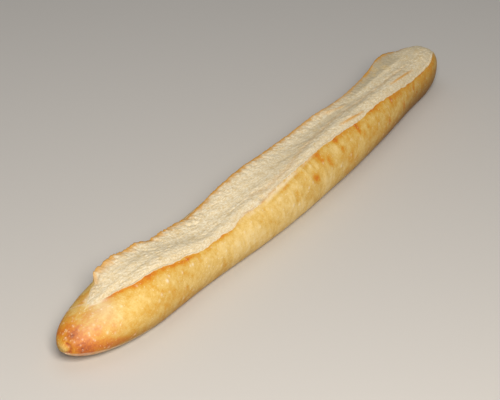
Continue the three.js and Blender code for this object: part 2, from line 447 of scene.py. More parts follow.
share_along = np.arange(STATIONS) / (STATIONS - 1)
evenly = 2 * share_along - 1
station = HALF_LENGTH * ((1 - END_CROWDING) * evenly - END_CROWDING * np.cos(np.pi * share_along))
middle_of_cut = (lip_at(station) + follow(RIM, station)) / 2
half_of_cut = np.maximum(follow(RIM, station) - lip_at(station), LEAST_CUT_DEGREES) / 2
straight = np.ones(STATIONS)
corners = [
    (straight * UNDERSIDE_DEGREES, BASE_POINTS),
    (straight * (UNDERSIDE_DEGREES + BASE_EDGE_DEGREES), NEAR_POINTS),
    (middle_of_cut - half_of_cut, CUT_POINTS),
    (middle_of_cut + half_of_cut, FAR_POINTS),
    (straight * (UNDERSIDE_DEGREES + FULL_TURN - BASE_EDGE_DEGREES), BASE_POINTS),
    (straight * (UNDERSIDE_DEGREES + FULL_TURN), 0),
]
stretches = []
for (start, count), (end, _) in zip(corners, corners[1:]):
    stretches.append(start[:, None] + (end - start)[:, None] * np.arange(count) / count)
degrees = np.concatenate(stretches, 1)
RING_POINTS = degrees.shape[1]
LIP_COLUMN = BASE_POINTS + NEAR_POINTS
RIM_COLUMN = LIP_COLUMN + CUT_POINTS
x = np.repeat(station[:, None], RING_POINTS, 1)
print(STATIONS, "rings of", RING_POINTS, "points:", 2 * STATIONS * RING_POINTS, "triangles")

# %% [markdown]
# ## Random lumps and short lines
# Torn dough, wrinkled skin and uneven browning are random, each at its own size. Noise textures could bump
# the surface, but here the mesh itself has to move. So random numbers are set on the corners of a coarse
# net, and each place takes a soft mean of the four around it. Cracks and nicks are short lines.

# %% Lumps, lines and spans
MM_PER_DEGREE = 0.47
SHORTEST_RUN = 1e-6


def lumps(kind, seed):
    """Soft random lumps from -1 to 1, of the kind's size along and across in mm, turned by its degrees."""
    lean = np.radians(kind.get("turn", 0.0))
    run, rise = x + HALF_LENGTH, (degrees - UNDERSIDE_DEGREES) * MM_PER_DEGREE
    grid_u = (run * np.cos(lean) + rise * np.sin(lean)) / kind["along"]
    grid_v = (rise * np.cos(lean) - run * np.sin(lean)) / kind.get("across", FULL_TURN)
    i, j = np.floor(grid_u).astype(int), np.floor(grid_v).astype(int)
    i, j = i - i.min(), j - j.min()
    net = np.random.default_rng(seed).uniform(-1, 1, (i.max() + 2, j.max() + 2))
    u, v = ease(grid_u % 1, 0, 1), ease(grid_v % 1, 0, 1)
    start = net[i, j] * (1 - v) + net[i, j + 1] * v
    end = net[i + 1, j] * (1 - v) + net[i + 1, j + 1] * v
    return start * (1 - u) + end * u


def all_lumps(kinds, first_seed, size):
    """Several kinds of lumps added up, each times the size it names."""
    return sum(kind[size] * lumps(kind, seed) for seed, kind in enumerate(kinds, first_seed))


def all_lines(kinds, size):
    """Short lines between places (x, degrees) added up, each times its size, fading at twice its reach."""
    total = np.zeros_like(x)
    for kind in kinds:
        (start_x, start), (end_x, end) = kind["from"], kind["to"]
        run = np.array([end_x - start_x, (end - start) * MM_PER_DEGREE])
        off_x, off_d = x - start_x, (degrees - start) * MM_PER_DEGREE
        t = np.clip((off_x * run[0] + off_d * run[1]) / max(run @ run, SHORTEST_RUN), 0, 1)
        off = (off_x - t * run[0]) ** 2 + (off_d - t * run[1]) ** 2
        total += kind[size] * np.exp(-off / kind["reach"] ** 2)
    return total


def between(value, start, full, still_full, end):
    """0 outside start and end, 1 from full to still_full, with soft changes."""
    return ease(value, start, full) * (1 - ease(value, still_full, end))


def extent(values):
    """The least and the greatest value, as words to print."""
    return f"from {values.min():.2f} to {values.max():.2f}"


print("one degree round the loaf is about", MM_PER_DEGREE, "mm")

# %% [markdown]
# ## Fine relief of the torn crumb
# Torn dough is fibrous. Two sets of lumps are drawn out along the loaf and a third is short, each at its
# own slant, or the tear would look combed. An upright fringe lies on the wall of the ear, calmer towards
# the blunt end, and a few pits and cracks stay open. A bump map could fake it, but not its shadows.

# %% Strands, fringe and pits
STRANDS = [
    {"along": 4.4, "across": 1.0, "turn": -30.0, "height": 0.28},
    {"along": 7.5, "across": 1.2, "turn": -7.0, "height": 0.22},
    {"along": 1.6, "across": 2.6, "turn": 18.0, "height": 0.15},
]
STRAND_SEED = 11
STRAND_EDGE_SHARE = 0.12
CALM_DIP = 0.5
FRINGE = {"along": 1.5, "across": 7.0, "turn": 8.0, "height": 0.65}
FRINGE_SEED = 15
FAR_FRINGE = (120, 190)
FAR_CALM = 0.6
PITS = [
    {"from": (-54, 49), "to": (-54, 49), "reach": 2.4, "deep": 1.1},
    {"from": (-169, 114), "to": (-163, 100), "reach": 1.2, "deep": 1.0},
    {"from": (-117, 113), "to": (-111, 105), "reach": 1.3, "deep": 1.3},
    {"from": (-219, 128), "to": (-217, 124), "reach": 1.3, "deep": 0.9},
]
EDGE_SHARE = 1e-6

across, belly_end, crease_at = cut_shares(x, degrees)
opened = ease(x, *OPENING)
in_cut = (across > EDGE_SHARE) & (across < 1 + EDGE_SHARE) & (opened > 0)
well_inside = ease(np.minimum(across, 1 - across), 0, STRAND_EDGE_SHARE) * in_cut * opened
strands = all_lumps(STRANDS, STRAND_SEED, "height")
pits = all_lines(PITS, "deep")
up_wall = ease(across, crease_at, 1)
in_dip = ease(across, belly_end, crease_at) * (1 - up_wall)
fringe = all_lumps([FRINGE], FRINGE_SEED, "height") * up_wall * (1 - FAR_CALM * ease(x, *FAR_FRINGE))
crumb_relief = (strands * (1 - CALM_DIP * in_dip) + fringe - pits) * well_inside
print("crumb relief in mm:", extent(crumb_relief))

# %% [markdown]
# ## Teeth of the ear
# The thin edge of the ear breaks as it dries, wildest near the pointed end. Its teeth show in the loaf's
# outline, so they can't be painted on: the rim rises and falls by random amounts at three sizes.

# %% Teeth along the rim
TEETH = [{"along": 1.2, "height": 0.5}, {"along": 2.3, "height": 0.6}, {"along": 5.2, "height": 0.45}]
TEETH_SEED = 21
WILD_EAR = (-222, -214, -125, -100)
CALM_TEETH = 0.3

wild = between(x, *WILD_EAR)
teeth = all_lumps(TEETH, TEETH_SEED, "height")[:, :1] * (CALM_TEETH + (1 - CALM_TEETH) * wild)
print("teeth in mm:", extent(teeth))

# %% [markdown]
# ## Fine relief of the crust
# As the loaf dries its skin draws into shallow wrinkles across the side, over broad soft dents. Steam
# raises tiny blisters, some in known places and many strewn at random. A bump map could draw both, but a
# blister that is really raised catches the light.

# %% Wrinkles and dents
WRINKLES = {"along": 2.0, "across": 12.0, "turn": 14.0, "height": 0.15}
WRINKLED = (-150, -115, 20, 60)
CALM_WRINKLES = 0.3
DENTS = [{"along": 30.0, "across": 18.0, "height": 0.28}, {"along": 8.0, "across": 9.0, "height": 0.10}]
CRUST_SEED = 31
SIDE_FADE = (-46, -24, 206, 226)
SMOOTH_TIP = (0.3, 0.9)

on_side = between(degrees, *SIDE_FADE) * ~in_cut
wrinkled = CALM_WRINKLES + (1 - CALM_WRINKLES) * between(x, *WRINKLED)
folds = all_lumps([WRINKLES], CRUST_SEED, "height") * wrinkled
dents = all_lumps(DENTS, CRUST_SEED + 1, "height")
crust_relief = (folds + dents) * on_side * ease(fullness_at(x), *SMOOTH_TIP)
print("crust relief in mm:", extent(crust_relief))

# %% Blisters
# A big blister is a place (x, degrees), a radius in mm and a share of the full height.
BIG_BLISTERS = [(-186, 34, 2.0, 1.4), (-182, 38, 1.2, 1.2), (-197, 22, 1.3, 1.2), (-168, 30, 1.2, 1.1),
                (-154, 30, 1.5, 1.2), (-157, 31, 1.2, 1.1), (-1, 17, 1.5, 1.2), (-26, 10, 1.5, 1.2),
                (6, 20, 1.3, 1.1), (-18, 4, 1.4, 1.1), (52, 8, 1.6, 1.2), (70, 12, 1.3, 1.1)]
SCATTER = [{"count": 330, "x": (-278, 278), "degrees": (-24, 206), "radii": (0.8, 1.4)},
           {"count": 70, "x": (-275, -235), "degrees": (10, 125), "radii": (0.5, 0.9)},
           {"count": 110, "x": (-150, 110), "degrees": (-20, 30), "radii": (0.5, 0.8)}]
BLISTER_SEED = 41
BLISTER_SHARES = (0.2, 1.0)
BLISTER_HEIGHT = 0.35
BLISTER_FALL = 2.0
BLISTER_REACH = 3.0
CRUST_GAP_DEGREES = 5.0

draw = np.random.default_rng(BLISTER_SEED)
scattered = []
for kind in SCATTER:
    ranges = [kind["x"], kind["degrees"], kind["radii"], BLISTER_SHARES]
    scattered.append(np.column_stack([draw.uniform(*span, kind["count"]) for span in ranges]))
blister = np.zeros_like(x)
smooth = surface(x, degrees, 0.0)
for place_x, place_d, radius, tall in np.concatenate([BIG_BLISTERS] + scattered):
    off_crust = max(follow(LIP, place_x) - place_d, place_d - follow(RIM, place_x)) < CRUST_GAP_DEGREES
    if off_crust and place_x > OPENING[0]:
        continue
    rows = np.abs(station - place_x) < BLISTER_REACH * radius
    off = smooth[rows] - surface(place_x, place_d, 0.0)
    raised = tall * np.exp(-BLISTER_FALL * (off ** 2).sum(-1) / radius ** 2)
    blister[rows] = np.maximum(blister[rows], raised)
print("blisters on", int((blister > BLISTER_SHARES[0]).sum()), "points of the grid")

# %% [markdown]
# ## The pinched tip
# At the pointed tip the dough was pinched shut, which leaves a small nub in front of a groove. The groove
# could be cut with a boolean; moving the last rings back along the loaf is enough. Now every part of the
# relief is known, and places become points.

# %% Groove, nub and the finished surface
PINCH = {"at": -276.3, "reach": 1.2, "deep": 1.3, "degrees": (-90, -70, 60, 85)}
NUB = (-277.2, -276.3)

pinched = between(degrees, *PINCH["degrees"])
groove = PINCH["deep"] * near(x - PINCH["at"], PINCH["reach"]) * pinched
nub = 1 - ease(x, *NUB)
relief = cut_relief(x, degrees, teeth) + crumb_relief + crust_relief + BLISTER_HEIGHT * blister
points = surface(x, degrees, relief)
points[..., 0] += groove
print("whole relief in mm:", extent(relief))

# %% [markdown]
# ## From grid to mesh
# Four neighbours of the grid make a face, the last column joins the first, and a fan of triangles closes
# each tip. Crust and crumb could be two meshes, but a seam would show where they meet. So it is one mesh:
# faces between the lip and the rim take the crumb's finish, all others the crust's.

# %% Mesh of the loaf
ring = np.arange(STATIONS * RING_POINTS).reshape(STATIONS, RING_POINTS)
following = np.roll(ring, -1, axis=1)
quads = np.stack([ring[:-1], ring[1:], following[1:], following[:-1]], -1).reshape(-1, 4)
tips = points[[0, -1]].mean(1)
near_tip, far_tip = ring.size, ring.size + 1
near_fan = [(near_tip, int(a), int(b)) for a, b in zip(ring[0], following[0])]
far_fan = [(far_tip, int(b), int(a)) for a, b in zip(ring[-1], following[-1])]
corner_points = np.concatenate([points.reshape(-1, 3), tips]) * MM
loaf_mesh = bpy.data.meshes.new("loaf_bread")
loaf_mesh.from_pydata(corner_points.tolist(), [], quads.tolist() + near_fan + far_fan)
loaf_mesh.shade_smooth()
loaf = new_object("loaf_bread", loaf_mesh)

CUT_START_X = -242.0
column = np.arange(RING_POINTS)
cut_columns = (column >= LIP_COLUMN) & (column < RIM_COLUMN)
crumb_faces = (station[:-1, None] > CUT_START_X) & cut_columns[None, :]
fan_faces = np.zeros(len(near_fan) + len(far_fan), bool)
slots = np.concatenate([crumb_faces.reshape(-1), fan_faces]).astype(np.int32)
print("faces:", len(loaf_mesh.polygons), "of which crumb:", int(slots.sum()))

# %% [markdown]
# ## Where the oven browned the crust
# Browning follows heat: thin edges, the pointed tip and the low side near the oven floor go first. It could
# be painted by hand; curves and spots in mm are easier to correct. Each point gets three numbers for the
# finishes to read: toast, from pale to dark; flour, where it is white, with some painted light; and shade,
# where shade is painted in, together with a browner low side.

# %% Even toast, blotches and spots
# Toast rises towards the blunt end: partly browner crust, partly painted shade for light that falls off
# along the loaf.
CRUST_TOAST = [[-278, 0.42], [-273, 0.55], [-268, 0.67], [-261, 0.62], [-253, 0.50], [-246, 0.41],
               [-240, 0.36], [-225, 0.33], [-205, 0.29], [-190, 0.31], [-150, 0.30], [-122, 0.24],
               [-100, 0.19], [-83, 0.18], [-45, 0.20], [15, 0.22], [74, 0.30], [134, 0.34], [193, 0.42],
               [241, 0.44], [278, 0.38]]
BLOTCHES = [{"along": 22.0, "across": 12.0, "by": 0.06}, {"along": 7.0, "across": 6.0, "by": 0.09},
            {"along": 2.6, "across": 2.6, "by": 0.09}]
BLOTCH_SEED = 51
FOLD_TOAST = 0.5
# Extra toast low on the side: partly browning near the oven floor, partly painted shade that keeps the low
# side deep and saturated.
LOW_TOAST_AND_SHADE = [[-270, 0.03], [-232, 0.10], [-150, 0.08], [-97, 0.08], [-45, 0.04], [14, 0.02], [77, 0.08],
             [150, 0.08], [215, 0.0]]
LOW_SIDE_MM = (4.0, 20.0)
SPOTS = [
    {"at": (13, 20), "reach": (5.0, 4.5), "by": 0.38}, {"at": (38, 26), "reach": (5.0, 4.5), "by": 0.36},
    {"at": (29, 44), "reach": (5.0, 6.0), "by": 0.42}, {"at": (63, 27), "reach": (4.0, 4.5), "by": 0.28},
    {"at": (60, 42), "reach": (2.6, 7.0), "by": 0.22}, {"at": (94, 39), "reach": (2.6, 6.0), "by": 0.30},
    {"at": (109, 32), "reach": (3.0, 4.5), "by": 0.26}, {"at": (159, 39), "reach": (2.4, 4.5), "by": 0.36},
    {"at": (182, 2), "reach": (2.2, 4.5), "by": 0.30}, {"at": (206, 20), "reach": (2.2, 3.4), "by": 0.30},
    {"at": (148, 4), "reach": (2.2, 3.0), "by": 0.24}, {"at": (-271, 26), "reach": (5.0, 11.0), "by": 0.24},
    {"at": (-264, -19), "reach": (8.0, 5.0), "by": 0.16},
    {"at": (-250, -19), "reach": (10.0, 4.0), "by": 0.14},
    {"at": (-236, -20), "reach": (14.0, 4.6), "by": 0.24},
    {"at": (-234, 139), "reach": (13.0, 7.0), "by": 0.15},
    {"at": (-15, -12), "reach": (45.0, 9.0), "by": -0.07},
]


def all_spots(kinds):
    """Soft spots added up: a place (x, degrees), a reach along and across the loaf in mm, and an amount."""
    total = np.zeros_like(x)
    for kind in kinds:
        place_x, place_d = np.array(kind["at"], float)
        off = points - surface(place_x, place_d, 0.0)
        reach_along, reach_across = kind["reach"]
        sideways = (off[..., 1] ** 2 + off[..., 2] ** 2) / reach_across ** 2
        total += kind["by"] * np.exp(-(off[..., 0] / reach_along) ** 2 - sideways)
    return total


level = points[..., 2]
toast = follow(CRUST_TOAST, x) + all_lumps(BLOTCHES, BLOTCH_SEED, "by") - FOLD_TOAST * folds
toast = toast + all_spots(SPOTS)
toast = toast + follow(LOW_TOAST_AND_SHADE, x) * (1 - ease(level, *LOW_SIDE_MM))
print("crust toast:", extent(toast))

# %% Browned lip of the cut
LIP_TOAST = [[-241, 0.0], [-236, 0.05], [-231, 0.42], [-226, 0.46], [-218, 0.42], [-213, 0.38],
             [-206, 0.42], [-197, 0.40], [-189, 0.32], [-180, 0.18], [-150, 0.15], [-142, 0.16],
             [-134, 0.14], [-124, 0.22], [-113, 0.42], [-103, 0.46], [-95, 0.28], [-88, 0.17], [24, 0.18],
             [39, 0.20], [52, 0.26], [66, 0.28], [80, 0.24], [90, 0.14], [97, 0.24], [106, 0.14],
             [122, 0.24], [148, 0.24], [162, 0.16], [174, 0.10], [262, 0.06]]
LIP_TOAST_MM = [[-232, 2.4], [-226, 2.8], [-220, 3.2], [-211, 4.4], [-202, 6.4], [-194, 5.0], [-186, 3.6],
                [-150, 4.0], [-125, 2.8], [-104, 2.6], [-92, 1.6], [20, 1.6], [40, 3.4], [262, 3.0]]

lip, rim = lip_at(x), follow(RIM, x)
steps = np.linalg.norm(np.diff(points, axis=1), axis=-1)
run_round = np.cumsum(np.pad(steps, ((0, 0), (1, 0))), axis=1)
below_lip = np.maximum(run_round[:, [LIP_COLUMN]] - run_round, 0)
by_cut = (x > OPENING[0]) & (degrees < rim)
toast = toast + follow(LIP_TOAST, x) * near(below_lip, follow(LIP_TOAST_MM, x)) * by_cut
print("toast with the lip:", extent(toast))

# %% [markdown]
# ## The skin above the first cut
# In two stretches the blade's own line stayed below the torn lip: a thin brown line with a strip of pale
# dry skin above it. A second material could mark the strip; here the line adds toast, the strip flour.

# %% Line of the first cut and the pinched tip
OLD_LIP = [[-196, 57], [-180, 51], [-166, 44.8], [-157, 41.8], [-148, 40], [-143, 38.5], [-112, 37],
           [-92, 36], [-80, 35], [-68, 34.4], [-57, 35], [-44, 37.4], [-29, 40.4], [-12, 43.4], [6, 46.6],
           [23, 49.6], [36, 53], [50, 55]]
OLD_LIP_SPANS = [(-190, -178, -152, -144), (-104, -92, 20, 46)]
OLD_LIP_MM = 1.5
OLD_LIP_TOAST = [[-190, 0.15], [-164, 0.24], [-144, 0.26], [-95, 0.0], [-60, 0.08], [-44, 0.16],
                 [-30, 0.24], [-15, 0.20], [0, 0.14], [20, 0.12], [36, 0.16]]
SKIN_FADE_MM = 4.0
SKIN_LUMPS = {"along": 5.0, "across": 2.0, "turn": 4.0, "by": 0.9}
SKIN_SEED = 57
# The groove is browner and darker: partly toast, partly painted shade in the groove.
GROOVE_TOAST_AND_SHADE = 0.4
NUB_PALENESS = 0.04

above_old_lip = (degrees - follow(OLD_LIP, x)) * MM_PER_DEGREE
in_skin = sum(between(x, *span) for span in OLD_LIP_SPANS)
skin = ease(above_old_lip, 0, SKIN_FADE_MM) * (degrees <= lip) * in_skin
skin = skin * (1 + all_lumps([SKIN_LUMPS], SKIN_SEED, "by"))
toast = toast + follow(OLD_LIP_TOAST, x) * near(above_old_lip, OLD_LIP_MM) * in_skin
toast = toast + GROOVE_TOAST_AND_SHADE * groove / PINCH["deep"] * (1 - nub) - NUB_PALENESS * nub
print("skin strip on", int((skin > 0).sum()), "points of the grid")

# %% [markdown]
# ## Where the oven browned the cut
# Inside the cut only thin edges brown: the rim of the ear, torn skin on the lip, the ridge of the belly and
# the edges of loose flakes. A mask for each could be blended in the material. Keeping the strongest at
# each point is simpler, and two edges that meet never add up to a burnt spot.

# %% Toasted edges
RIM_TOAST = [[-236, 0.15], [-222, 0.3], [-214, 0.75], [-150, 0.95], [-60, 1.0], [60, 0.9], [140, 0.7],
             [200, 1.0], [272, 0.7]]
RIM_TOAST_MM = [[-225, 4.2], [-185, 4.0], [-150, 3.6], [-100, 3.2], [-60, 3.2], [60, 2.8], [150, 2.2],
                [205, 2.2], [272, 1.8]]
RAGGED = {"along": 2.6, "across": 3.0, "by": 0.7}
RAGGED_SEED = 61
TORN_SKIN = {"along": 6.0, "across": 60.0, "by": 0.6}
TORN_SKIN_SEED = 62
TORN_SKIN_SPAN = (-100, -90, -34, -20)
TORN_SKIN_TOAST = 0.3
TORN_SKIN_MM = 1.8
RIDGE_TOAST = 0.2
RIDGE_SPAN = (-70, -50, 200, 230)
RIDGE_DEGREES = 5.0
FLAKE_LINE_DEGREES = 2.2
FLAKE_LINE_OFF = -1.2
FLAKE_ENDS = 0.6

ragged = 1 + all_lumps([RAGGED], RAGGED_SEED, "by")
below_rim = np.maximum(run_round[:, [RIM_COLUMN]] - run_round, 0)
cut_toast = follow(RIM_TOAST, x) * near(below_rim, follow(RIM_TOAST_MM, x) * ragged)
above_lip = np.maximum(run_round - run_round[:, [LIP_COLUMN]], 0)
torn_skin = np.clip(all_lumps([TORN_SKIN], TORN_SKIN_SEED, "by") + TORN_SKIN_TOAST, 0, 1)
torn_skin = torn_skin * between(x, *TORN_SKIN_SPAN)
cut_toast = np.maximum(cut_toast, torn_skin * near(above_lip, TORN_SKIN_MM))
belly_line = lip + belly_end * (rim - lip)
ridge = RIDGE_TOAST * between(x, *RIDGE_SPAN) * near(degrees - belly_line, RIDGE_DEGREES)
cut_toast = np.maximum(cut_toast, ridge)
for flake, along, off in flake_lines(x, degrees):
    on_flake = np.sin(np.pi * along) ** FLAKE_ENDS * (along > 0) * (along < 1)
    edge = near(off - FLAKE_LINE_OFF, FLAKE_LINE_DEGREES)
    cut_toast = np.maximum(cut_toast, flake["toast"] * edge * on_flake)
toast = np.where(in_cut, cut_toast * opened, toast)
print("cut toast:", extent(cut_toast[in_cut]))

# %% [markdown]
# ## Flour, dry white places and painted light
# Flour clings to the crust low on the pointed end, where the cut starts, and on the tops of blisters. In
# the cut the same number stands for crumb that dried white on the wall of the ear, and for painted light on
# parts of the trough and the back of the belly. On the crust it also carries a painted highlight on the
# nose and a little painted light behind it. All of it could be a texture; as curves it keeps its measure
# along the loaf.

# %% Flour on the crust
SMEAR_MM = 3.2
SMEAR_SPAN = (-247, -242, -237, -229)
SMEAR_FLOUR = 0.5
BLISTER_FLOUR = 0.55
NICKS = [{"from": (-249, 154), "to": (-247, 151), "reach": 0.9, "flour_and_light": 0.7},
         {"from": (-247, 146), "to": (-243, 116), "reach": 0.8, "flour_and_light": 0.3}]
BASE_LINE = [[-276, 14.0], [-264, 12.0], [-252, 9.5], [-240, 7.5], [-228, 6.5], [-210, 5.5], [-185, 2.0]]
BASE_LINE_MM = 1.6
BASE_LINE_FLOUR = 0.36
BASE_LINE_SPAN = (-190, -165)
# Pale patches: the first, on the nose, stands partly for a painted highlight; the fourth, on the crown
# behind the nose, is painted light; the others are dry, paler crust.
PALE_AND_LIT_PATCHES = [{"at": (-259, 46), "reach": (12.0, 9.0), "by": 0.18},
               {"at": (-243, 40), "reach": (10.0, 13.0), "by": 0.18},
               {"at": (-238, 71), "reach": (8.0, 7.0), "by": 0.22},
               {"at": (-248, 116), "reach": (11.0, 12.0), "by": 0.04},
               {"at": (271, 44), "reach": (6.0, 6.0), "by": 0.28}]
SKIN_FLOUR = [[-190, 0.03], [-144, 0.03], [-104, 0.14], [-80, 0.22], [-60, 0.24], [-35, 0.42], [10, 0.42],
              [30, 0.28], [46, 0.12]]
NUB_FLOUR = 0.04

off_cut = np.maximum(np.maximum(lip - degrees, degrees - rim), 0) * MM_PER_DEGREE
smear = SMEAR_FLOUR * near(off_cut, SMEAR_MM) * between(x, *SMEAR_SPAN)
above_base = ease(level - follow(BASE_LINE, x), 0, BASE_LINE_MM)
base_line = BASE_LINE_FLOUR * ragged * (1 - above_base) * (1 - ease(x, *BASE_LINE_SPAN))
pale = BLISTER_FLOUR * blister + smear + base_line + all_lines(NICKS, "flour_and_light") + all_spots(PALE_AND_LIT_PATCHES)
pale = np.clip(pale + follow(SKIN_FLOUR, x) * skin + NUB_FLOUR * nub, 0, 1)
print("flour on the crust:", extent(pale[~in_cut]))

# %% Dry white crumb and painted light
WALL_FOOT = [[-222, 116], [-190, 114], [-165, 112], [-145, 99], [-118, 88], [-90, 100], [-42, 111],
             [22, 110], [76, 115], [104, 114], [150, 112], [205, 107], [240, 103], [272, 100]]
SOFT_DEGREES = 3.6
WALL_FLOUR = [[-230, 0.2], [-185, 0.45], [-140, 1.0], [-118, 0.85], [-90, 0.85], [-40, 0.65], [60, 0.55],
              [110, 0.4], [145, 0.0], [240, 0.0]]
# Painted light on the trough and on the back of the belly, whose slopes turn away from the lamp.
TROUGH_PAINTED_LIGHT = [[-140, 0.0], [-110, 0.8], [-85, 0.85], [-52, 0.35], [-20, 0.25], [0, 0.05], [130, 0.05],
                [160, 0.6], [205, 0.6], [240, 0.1]]
BELLY_BACK_PAINTED_LIGHT = [[-215, 0.0], [-183, 0.5], [-150, 0.2], [-120, 0.2], [-95, 0.45], [-62, 0.45], [-33, 0.35],
              [6, 0.4], [45, 0.1], [65, 0.2], [88, 0.5], [130, 0.35], [150, 0.6], [178, 0.85], [205, 0.4],
              [225, 0.1], [272, 0.0]]
BACK_OFF = -4.0
BACK_DEGREES = 9.0

wall_foot = np.maximum(follow(WALL_FOOT, x), belly_line + SOFT_DEGREES)
on_wall = ease(degrees, wall_foot - SOFT_DEGREES, wall_foot + SOFT_DEGREES)
in_trough = ease(degrees, belly_line - SOFT_DEGREES, belly_line + SOFT_DEGREES) * (1 - on_wall)
on_back = near(degrees - belly_line - BACK_OFF, BACK_DEGREES)
cut_white_and_light = on_wall * follow(WALL_FLOUR, x) + in_trough * follow(TROUGH_PAINTED_LIGHT, x)
cut_white_and_light = np.maximum(cut_white_and_light, on_back * follow(BELLY_BACK_PAINTED_LIGHT, x))
flour_and_light = np.where(in_cut, cut_white_and_light, pale)
print("flour in the cut:", extent(cut_white_and_light[in_cut]))

# %% [markdown]
# ## Painted shade and dark places
# The trough, the pits, part of the ear's wall and a stretch of the belly get painted shade: a duller,
# greyer crumb colour where shade falls. The low side of the crust turns a deeper brown towards the blunt
# end, partly browning and partly painted shade. Lamps alone could darken them, but soft light reaches
# everywhere. So a third number says how much shade is painted at a place, and all three are stored with the
# mesh as attributes.

# %% Shade, and the stored numbers
# Painted shade in the cut: the trough, the far part of the ear's wall, the pits and a stretch of the belly
# are mixed towards a greyer, duller crumb.
TROUGH_SHADE = [[-248, 0.12], [-170, 0.12], [-110, 0.05], [-60, 0.02], [-10, 0.15], [30, 0.30], [75, 0.42],
                [112, 0.52], [138, 0.2], [165, 0.0], [215, 0.2], [240, 0.35], [272, 0.35]]
WALL_SHADE = [[-228, 0.0], [-218, 0.5], [-210, 0.3], [-200, 0.0], [-190, 0.0], [95, 0.0], [105, 0.0],
              [160, 1.0], [205, 1.0], [225, 0.9], [245, 0.2]]
BELLY_SHADE = [[-232, 0.0], [-208, 0.2], [-184, 0.0]]
PIT_SHADE = 0.7
# The low side of the crust, most towards the blunt end, is mixed towards dark brown: partly browner crust,
# partly painted shade where the light falls off. The tip is darkened the same way.
LOW_BROWN_SHADE_FOOT = 5.0
LOW_BROWN_SHADE_TOP = [[-278, 23], [150, 23], [215, 32], [278, 38]]
LOW_BROWN_SHADE_ALONG = [[-278, 0.30], [-262, 0.30], [-236, 0.62], [-205, 0.5], [-150, 0.30], [-97, 0.25], [-45, 0.06],
              [14, 0.0], [77, 0.36], [150, 0.82], [215, 1.0], [278, 1.0]]
DARK_TIP = {"at": (-275, 36), "reach": (6.0, 12.0), "by": 0.3}

on_belly = 1 - np.maximum(in_trough, on_wall)
in_shade = in_trough * follow(TROUGH_SHADE, x) + on_wall * follow(WALL_SHADE, x)
in_shade = np.clip(in_shade + on_belly * follow(BELLY_SHADE, x) + PIT_SHADE * pits, 0, 1)
crust_brown_and_shade = follow(LOW_BROWN_SHADE_ALONG, x) * (1 - ease(level, LOW_BROWN_SHADE_FOOT, follow(LOW_BROWN_SHADE_TOP, x)))
crust_brown_and_shade = np.maximum(crust_brown_and_shade, all_spots([DARK_TIP]))
stored_looks = {"toast": toast, "flour_and_light": flour_and_light, "shade": np.where(in_cut, in_shade, crust_brown_and_shade)}
for name, values in stored_looks.items():
    tip_values = [values[0].mean(), values[-1].mean()]
    stored = loaf_mesh.attributes.new(name, "FLOAT", "POINT")
    stored.data.foreach_set("value", np.concatenate([values.reshape(-1), tip_values]).astype(np.float32))
    print(name, extent(values))

# %% [markdown]
# ## Finish one: oven-baked wheat crust
# Dough browns where it dries: sugars and proteins at the surface turn gold, then orange, then red-brown. A
# photograph of crust could be wrapped round the loaf, but it would fit no other light. So one colour ramp
# runs over the stored toast, unsettled by noise at two sizes, blotches and grain.

# %% Crust: toast unsettled by noise
PER_METRE = 1 / MM
# The sockets of a Math node share one name, so they are told apart by their order.
FIRST, SECOND, THIRD = 0, 1, 2
BLOTCH = {"mm": 6.0, "detail": 3.0, "toast": 0.24}
# Real grain is finer than a millimetre; it is drawn this coarse so that it shows.
GRAIN = {"mm": 1.3, "detail": 2.0, "toast": 0.38}
CRUST_RAMP = [(0.0, "#f0d596"), (0.15, "#eac97e"), (0.3, "#dfb964"), (0.45, "#d9a440"), (0.6, "#d68c27"),
              (0.75, "#cd7526"), (0.9, "#b65e29"), (1.0, "#944828")]
# A new colour ramp already has two stops.
READY_STOPS = 2


def read_looks(tree):
    """Sockets for a finish to read: the place on the loaf, then the stored toast, flour and shade."""
    place = add(tree, "ShaderNodeTexCoord").outputs["Object"]
    stored = [add(tree, "ShaderNodeAttribute", attribute_name=name) for name in stored_looks]
    return [place] + [node.outputs["Fac"] for node in stored]


# Baked dough gives the eye a golden skin, never one colour, satin where smooth and matt where floury.
crust = new_material("Oven_baked_wheat_crust")
tree = crust.node_tree
place, toasted, floury_and_lit, shaded = read_looks(tree)
unsettled = toasted
for kind in (BLOTCH, GRAIN):
    noise = add(tree, "ShaderNodeTexNoise",
                {"Vector": place, "Scale": PER_METRE / kind["mm"], "Detail": kind["detail"]})
    sway = add(tree, "ShaderNodeMath",
               {FIRST: noise.outputs["Fac"], SECOND: kind["toast"], THIRD: unsettled},
               operation="MULTIPLY_ADD")
    unsettled = sway.outputs["Value"]
grain = noise.outputs["Fac"]
evened = add(tree, "ShaderNodeMath", {FIRST: unsettled, SECOND: (BLOTCH["toast"] + GRAIN["toast"]) / 2},
             operation="SUBTRACT")
ramp = add(tree, "ShaderNodeValToRGB", {"Fac": evened.outputs["Value"]})
for k, (stop, colour) in enumerate(CRUST_RAMP):
    element = ramp.color_ramp.elements[k] if k < READY_STOPS else ramp.color_ramp.elements.new(stop)
    element.position = stop
    element.color = linear(colour)
print("crust ramp of", len(CRUST_RAMP), "colours")

# %% Crust: browner low side with painted shade, flour with painted highlights, and gloss
# A Mix node keeps sockets for each kind of value; these are its two colours and the mixed colour.
MIX_A, MIX_B, MIX_RESULT = 6, 7, 2
# Dark brown for the low side: partly browner crust, partly painted shade.
LOW_BROWN_SHADE_COLOUR = "#7d4f0a"
LOW_BROWN_SHADE_SHARE = 0.9
# Pale flour colour, which also paints a highlight on the nose and light on the crown behind it.
FLOUR_AND_HIGHLIGHT_COLOUR = "#fbf0d6"
# Pale specks: partly flour, partly painted glints on small blisters.
SPECK_MM = 1.2
SPECK_DETAIL = 0.0
SPECK_EDGE = (0.735, 0.83)
SPECK_FLOUR_AND_GLINT = 0.4
